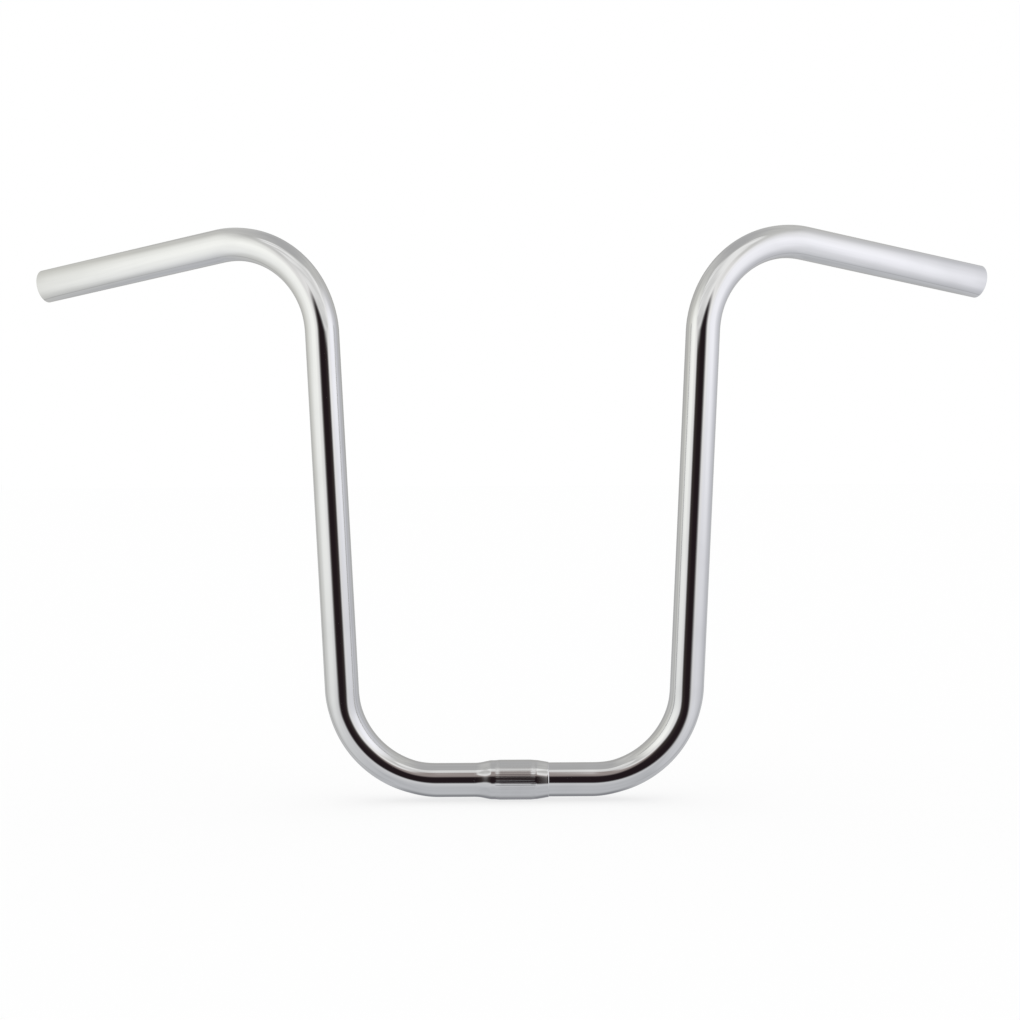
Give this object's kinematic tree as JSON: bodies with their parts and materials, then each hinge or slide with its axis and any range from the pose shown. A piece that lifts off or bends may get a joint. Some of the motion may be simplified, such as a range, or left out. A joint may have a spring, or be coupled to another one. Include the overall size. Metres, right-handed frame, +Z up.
{
  "type": "high-rise handlebar",
  "caption": "Bare high-rise handlebar: a bent steel tube rising from a knurled central clamp sleeve to two swept-back hand grip seats with open ends.",
  "frame": {"origin": "centre of the knurled clamp sleeve, on the tube's centreline", "axes": "+X along the clamp axis to the rider's left, +Y back to the rider, +Z up along the bar's rise"},
  "size_m": [0.6486, 0.0887, 0.3775],
  "materials": {
    "tube_chrome": "polished chrome plate",
    "sleeve_chrome": "polished chrome plate over a rolled straight knurl"
  },
  "bodies": {
    "root": {"bar_tube": "tube_chrome", "clamp_sleeve": "sleeve_chrome"}
  },
  "joints": []
}
